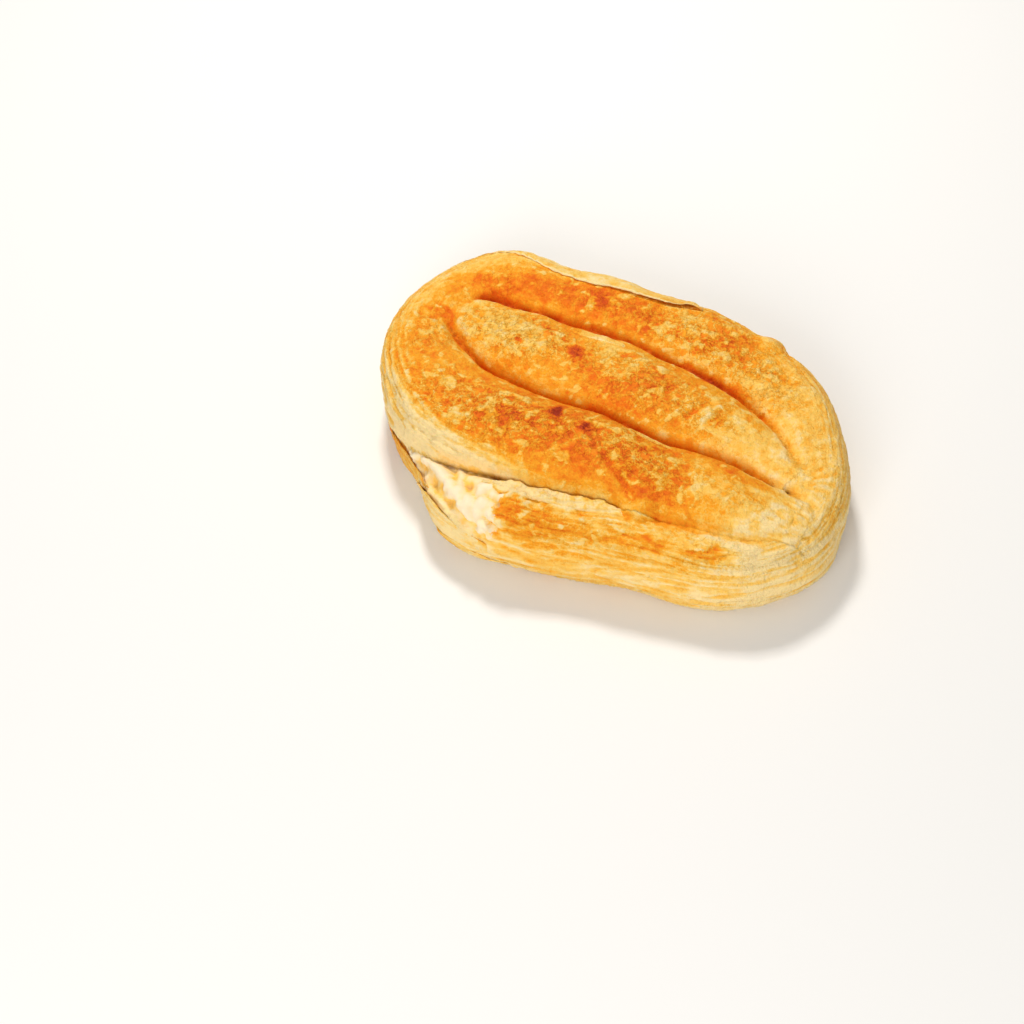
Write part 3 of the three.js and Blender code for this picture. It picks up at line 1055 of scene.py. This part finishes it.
def build_peel(peel, sizes):
    """One thin layer of dough, rooted in the coil's skin and free along its other edge."""
    steps = round(abs(peel.end - peel.start) / PEEL_STEP)
    shape = bmesh.new()
    bmesh.ops.create_grid(shape, x_segments=steps, y_segments=PEEL_ROWS, size=0.5)
    bmesh.ops.solidify(shape, geom=shape.faces[:], thickness=1.0)
    flat = np.array([vert.co for vert in shape.verts])
    share, reach = flat[:, 0] + 0.5, flat[:, 1] + 0.5
    upper = np.abs(flat[:, 2]) < 0.5
    nothing = np.zeros(len(share))
    stops = np.linspace(0, 1, len(peel.root))
    root, edge, lift, browning = (
        np.interp(share, stops, values)
        for values in (peel.root, peel.edge, peel.lift, peel.browning)
    )
    distance = peel.start + share * (peel.end - peel.start)
    tears = rough(np.stack((distance, nothing, nothing), axis=1), TEAR_SIZE, peel.seed, 5)
    edge = edge + peel.ragged * tears * np.sign(root - edge)
    angle = np.radians(root + (edge - root) * reach)
    on_skin = peel.rope.skin(distance, angle)
    on_coil = np.full(len(share), peel.rope is COIL)
    places = Places(on_skin, on_coil, distance, angle, nothing, nothing)
    outward = peel.rope.skin(distance, angle, 1.0, 1.0) - on_skin
    height = relief(places, outward, sizes, flakiness(places, nothing))
    ends = smoothstep(np.minimum(share, 1 - share), 0.0, 0.06)
    thick = sizes.layer / MM * (0.45 + 0.55 * smoothstep(reach, 1.0, 0.75))
    sunk = ROOT_DIVE * (1 - smoothstep(reach, 0.0, DIVE_SHARE)) + END_DIVE * (1 - ends)
    flutter = 0.35 * places.streaks(*FLUTTER, peel.seed, 2) * smoothstep(lift, 0.0, 0.8)
    top = height + (lift + flutter) * reach**2 + PEEL_CLEARANCE - sunk
    lifted = np.where(upper, top, top - thick)
    place_points(shape, peel.rope.skin(distance, angle, 1.0, lifted))
    mesh = as_mesh(shape, peel.name)
    browning = browning + 0.1 * rough(on_skin, *PEEL_BROWNING)
    dress(mesh, places, browning, nothing, nothing)
    new_piece(mesh)


# ---- material ----


def add(tree, kind, sockets=None, **settings):
    """A new node, with settings and with sockets set to values or linked to other sockets."""
    made = tree.nodes.new(kind)
    for name, value in settings.items():
        setattr(made, name, value)
    for name, value in (sockets or {}).items():
        if isinstance(value, bpy.types.NodeSocket):
            tree.links.new(value, made.inputs[name])
        else:
            made.inputs[name].default_value = value
    return made


def maths(tree, operation, *values):
    """The output of a Math node on values or sockets."""
    return add(tree, "ShaderNodeMath", dict(enumerate(values)), operation=operation).outputs[0]


def times(tree, one, other):
    """The product of two values or sockets."""
    return maths(tree, "MULTIPLY", one, other)


def plus(tree, base, *layers):
    """A value or socket with further ones added to it, each by its own share."""
    for layer, share in layers:
        base = maths(tree, "MULTIPLY_ADD", layer, share, base)
    return base


def grain(tree, vector, size, detail, roughness=0.5):
    """Noise around 0 with features of this size in metres."""
    made = add(tree, "ShaderNodeTexNoise", {
        "Vector": vector, "Scale": 1 / size, "Detail": detail, "Roughness": roughness,
    })
    return maths(tree, "SUBTRACT", made.outputs["Fac"], 0.5)


def lengthwise(tree, along, around, length, width):
    """Noise around 0 drawn out along the rope, its streaks this long and wide in millimetres."""
    flow = add(tree, "ShaderNodeCombineXYZ", {
        "X": maths(tree, "DIVIDE", along, length), "Y": maths(tree, "DIVIDE", around, width),
    })
    return grain(tree, flow.outputs["Vector"], 1.0, 3.0, 0.55)


def between(tree, value, low, high):
    """0 where a value is at low, 1 where it is at high."""
    sockets = {"Value": value, "From Min": low, "From Max": high}
    made = add(tree, "ShaderNodeMapRange", sockets, interpolation_type="SMOOTHSTEP")
    return made.outputs["Result"]


def mixed(tree, share, one, other):
    """A colour between one and other."""
    sockets = {0: share, 6: one, 7: other}
    return add(tree, "ShaderNodeMix", sockets, data_type="RGBA").outputs[2]


def ramp(tree, value, stops):
    """A colour that runs through stops of (place, linear colour)."""
    made = add(tree, "ShaderNodeValToRGB", {"Fac": value})
    elements = made.color_ramp.elements
    while len(elements) < len(stops):
        elements.new(0.5)
    for element, (place, colour) in zip(elements, stops):
        element.position = place
        element.color = (*colour, 1.0)
    return made.outputs["Color"]


SHADE_TOP = 1.3         # the shade of the darkest spots, at the end of the crust's ramp
# The crust's colour noises: size of their features in metres, detail, roughness.
WAVER = (0.016, 2.0)
BLOTCHES = (0.0075, 5.0, 0.6)
FINE = (0.0024, 4.0, 0.65)
SPECKS = (0.0011, 3.0, 0.6)
FLAKE_EDGES = (0.0019, 4.0, 0.7)
WORMS = (0.0042, 4.0, 0.62)
CRACKS = (0.0058, 4.0, 0.66)
DOUGH_SPOTS = (0.004, 3.0)
# And its streaks: length and width in millimetres.
BROAD_STREAKS = (34.0, 4.6)
LINES = (17.0, 1.3)


def crust_material():
    """Baked dough, browned as the points say, mottled, streaked along the layers, with painted
    shade in seams and hollows.
    """
    name = "baked_crust"
    if name in bpy.data.materials:
        return bpy.data.materials[name]
    colours = bpy.context.scene.borek_colours
    material = bpy.data.materials.new(name)
    material.use_nodes = True
    tree = material.node_tree
    tree.nodes.clear()

    place = add(tree, "ShaderNodeTexCoord").outputs["Object"]
    browning, torn, puff, seam, flaky, flake, hollow, streaky, along, around = (
        add(tree, "ShaderNodeAttribute", attribute_name=each).outputs["Fac"]
        for each in ("browning", "torn", "puff", "seam", "flaky", "flake", "hollow", "streaky",
                     "along", "around")
    )
    around = plus(tree, around, (grain(tree, place, *WAVER), 5.0))

    # spots and lines in the crust, the finest ones last
    blotches = grain(tree, place, *BLOTCHES)
    fine = grain(tree, place, *FINE)
    specks = grain(tree, place, *SPECKS)
    broad = times(tree, lengthwise(tree, along, around, *BROAD_STREAKS), streaky)
    lines = times(tree, lengthwise(tree, along, around, *LINES), streaky)
    ragged = plus(tree, flake, (grain(tree, place, *FLAKE_EDGES), 1.1))
    flake_top = between(tree, ragged, -0.22, 0.26)
    lacy = maths(tree, "MULTIPLY_ADD", flaky, 0.9, 0.1)
    worms = maths(tree, "ABSOLUTE", grain(tree, place, *WORMS))
    lace = times(tree, between(tree, worms, 0.055, 0.012), lacy)
    cracks = maths(tree, "ABSOLUTE", grain(tree, place, *CRACKS))
    cracks = times(tree, between(tree, cracks, 0.02, 0.002), lacy)

    # how brown it is: flakes and lace turn it paler, though not past straw
    mottled = maths(tree, "MULTIPLY_ADD", streaky, -0.4, 0.95)
    shade = plus(tree, browning, (blotches, mottled))
    pale = times(tree, maths(tree, "MAXIMUM", flake_top, lace), -0.4)
    pale = times(tree, pale, between(tree, seam, 0.3, 0.02))
    lowest = maths(tree, "MINIMUM", shade, 0.25)
    shade = maths(tree, "MAXIMUM", maths(tree, "ADD", shade, pale), lowest)
    # Painted shade and light: hollows of the relief are browned a little, and its bumps paled.
    shade = plus(
        tree, shade, (cracks, 0.22), (specks, 0.16), (broad, 0.6), (lines, 0.34), (hollow, 0.05)
    )
    crust = ramp(tree, maths(tree, "DIVIDE", shade, SHADE_TOP), (
        (0.0, colours.cream), (0.2 / SHADE_TOP, colours.straw), (0.42 / SHADE_TOP, colours.golden),
        (0.72 / SHADE_TOP, colours.orange), (1.0 / SHADE_TOP, colours.rust),
        (1.0, colours.brown),
    ))

    # Painted shade: the torn dough runs from the dark hollow colour in its low places to white on
    # its highest puffs.
    soft = plus(tree, puff, (grain(tree, place, *DOUGH_SPOTS), 0.6))
    dough = ramp(tree, soft, (
        (0.0, colours.hollow), (0.3, colours.straw), (0.55, colours.inner), (1.0, colours.white),
    ))
    ripped = between(tree, plus(tree, torn, (fine, 0.9)), 0.43, 0.57)
    # Painted shade: deep in the seams the colour turns to the dark seam shade colour.
    deep = times(tree, between(tree, seam, 0.48, 0.82), 0.9)
    colour = mixed(tree, deep, mixed(tree, ripped, crust, dough), (*colours.seam, 1.0))

    height = plus(
        tree, specks, (lines, 1.3), (broad, 1.0), (lace, 0.5), (cracks, -0.5),
        (flake_top, 0.35), (fine, 1.4),
    )
    crisp = maths(tree, "MULTIPLY_ADD", torn, -0.75, 1.0)
    bump = add(tree, "ShaderNodeBump", {"Strength": crisp, "Distance": 0.0006, "Height": height})
    shader = add(tree, "ShaderNodeBsdfPrincipled", {
        "Base Color": colour, "Roughness": maths(tree, "MULTIPLY_ADD", specks, 0.3, 0.5),
        "Normal": bump.outputs["Normal"], "Specular IOR Level": 0.12, "Subsurface Weight": 0.1,
        "Subsurface Radius": (0.9, 0.45, 0.15), "Subsurface Scale": 0.002,
    })
    add(tree, "ShaderNodeOutputMaterial", {"Surface": shader.outputs["BSDF"]})
    return material


# ---- the stage ----


MID_HEIGHT = Vector((0, 0, 0.020))      # half the height of the coil, about


def aim_lamp(name, place, width, watts, tint):
    """A square soft light that faces the middle of the borek."""
    lamp = bpy.data.lights.new(name, "AREA")
    lamp.size = width
    lamp.energy = watts
    lamp.color = tint
    holder = in_scene(name, lamp)
    holder.location = place
    holder.rotation_euler = (MID_HEIGHT - Vector(place)).to_track_quat("-Z", "Y").to_euler()


SENSOR_WIDTH = 36.0
PICTURE_WIDTH = 1024
HEART_RIGHT = 103.0     # pixels from the middle of the picture to the coil's heart
HEART_UP = 80.0


def place_camera(stage):
    """A camera that sees the heart of the coil right of and above the middle of its picture."""
    target = Vector(HEART) * MM + MID_HEIGHT
    azimuth, elevation = stage.azimuth, stage.elevation
    back = Vector((
        math.sin(azimuth) * math.cos(elevation),
        -math.cos(azimuth) * math.cos(elevation),
        math.sin(elevation),
    ))
    level = Vector((math.cos(azimuth), math.sin(azimuth), 0))
    upward = back.cross(level)
    turn = Matrix((
        level * math.cos(stage.roll) + upward * math.sin(stage.roll),
        upward * math.cos(stage.roll) - level * math.sin(stage.roll),
        back,
    )).transposed()
    focal = stage.lens / SENSOR_WIDTH * PICTURE_WIDTH
    seen = Vector((HEART_RIGHT / focal, HEART_UP / focal, -1.0))
    offset = Vector((0, 0, -1)).rotation_difference(seen).to_matrix()
    camera = bpy.data.cameras.new("camera")
    camera.lens = stage.lens
    camera.sensor_width = SENSOR_WIDTH
    camera.clip_start = 0.01
    holder = in_scene("camera", camera)
    holder.matrix_world = (
        Matrix.Translation(target + back * stage.distance)
        @ (turn @ offset.inverted()).to_4x4()
    )
    bpy.context.scene.camera = holder


def floor_material(colour):
    """A plain pale floor."""
    material = bpy.data.materials.new("pale_floor")
    material.use_nodes = True
    tree = material.node_tree
    shader = tree.nodes["Principled BSDF"]
    shader.inputs["Base Color"].default_value = (*colour, 1.0)
    shader.inputs["Roughness"].default_value = 0.8
    return material


FLOOR_GAP = 0.0002      # keeps the floor from touching the underside


def build_stage(colours):
    """A pale floor, soft lamps and an even, near-white surrounding."""
    shape = bmesh.new()
    bmesh.ops.create_grid(shape, x_segments=1, y_segments=1, size=3.0)
    bmesh.ops.translate(shape, vec=(0, 0, -FLOOR_GAP), verts=shape.verts)
    mesh = as_mesh(shape, "floor")
    mesh.materials.append(floor_material(colours.floor))
    floor = in_scene("floor", mesh)

    aim_lamp("key", (-0.36, 0.43, 0.87), 0.16, 6.4, (1.0, 0.97, 0.92))
    aim_lamp("fill", (0.26, -1.0, 0.6), 0.6, 7.5, (1.0, 0.98, 0.95))

    world = bpy.data.worlds.new("surroundings")
    world.use_nodes = True
    sky = world.node_tree.nodes["Background"]
    sky.inputs["Color"].default_value = (1.0, 0.99, 0.975, 1.0)
    sky.inputs["Strength"].default_value = 0.385
    bpy.context.scene.world = world
    bpy.context.scene.view_settings.view_transform = "Standard"


# ---- operators and panel ----


class BOREK_OT_coil(bpy.types.Operator):
    """Build the coil of dough"""

    bl_idname = "borek.coil"
    bl_label = "Coil"
    bl_options = {"REGISTER", "UNDO"}

    def execute(self, context):
        build_coil(context.scene.borek_sizes)
        return {"FINISHED"}


class BOREK_OT_peels(bpy.types.Operator):
    """Build the thin layers that stand off the coil"""

    bl_idname = "borek.peels"
    bl_label = "Loose layers"
    bl_options = {"REGISTER", "UNDO"}

    def execute(self, context):
        for peel in PEELS:
            build_peel(peel, context.scene.borek_sizes)
        return {"FINISHED"}


class BOREK_OT_stage(bpy.types.Operator):
    """Set up the floor, the lamps and the camera"""

    bl_idname = "borek.stage"
    bl_label = "Stage"
    bl_options = {"REGISTER", "UNDO"}

    def execute(self, context):
        build_stage(context.scene.borek_colours)
        place_camera(context.scene.borek_stage)
        return {"FINISHED"}


class BOREK_PT_panel(bpy.types.Panel):
    """The borek's pieces and their settings"""

    bl_idname = "BOREK_PT_panel"
    bl_label = "Coiled borek"
    bl_space_type = "VIEW_3D"
    bl_region_type = "UI"
    bl_category = "Borek"

    def draw(self, context):
        scene = context.scene
        for group in (scene.borek_sizes, scene.borek_colours, scene.borek_stage):
            for name in group.__annotations__:
                self.layout.prop(group, name)
        for operator in (BOREK_OT_coil, BOREK_OT_peels, BOREK_OT_stage):
            self.layout.operator(operator.bl_idname)


CLASSES = (
    BorekSizes, BorekColours, BorekStage,
    BOREK_OT_coil, BOREK_OT_peels, BOREK_OT_stage, BOREK_PT_panel,
)


def register():
    """Makes the classes and a scene's settings known to Blender."""
    for each in CLASSES:
        bpy.utils.register_class(each)
    bpy.types.Scene.borek_sizes = bpy.props.PointerProperty(type=BorekSizes)
    bpy.types.Scene.borek_colours = bpy.props.PointerProperty(type=BorekColours)
    bpy.types.Scene.borek_stage = bpy.props.PointerProperty(type=BorekStage)


def unregister():
    """Takes them back again."""
    del bpy.types.Scene.borek_stage
    del bpy.types.Scene.borek_colours
    del bpy.types.Scene.borek_sizes
    for each in reversed(CLASSES):
        bpy.utils.unregister_class(each)


def main():
    """Builds every piece and the stage."""
    register()
    bpy.ops.borek.coil()
    bpy.ops.borek.peels()
    bpy.ops.borek.stage()


if __name__ == "__main__":
    main()
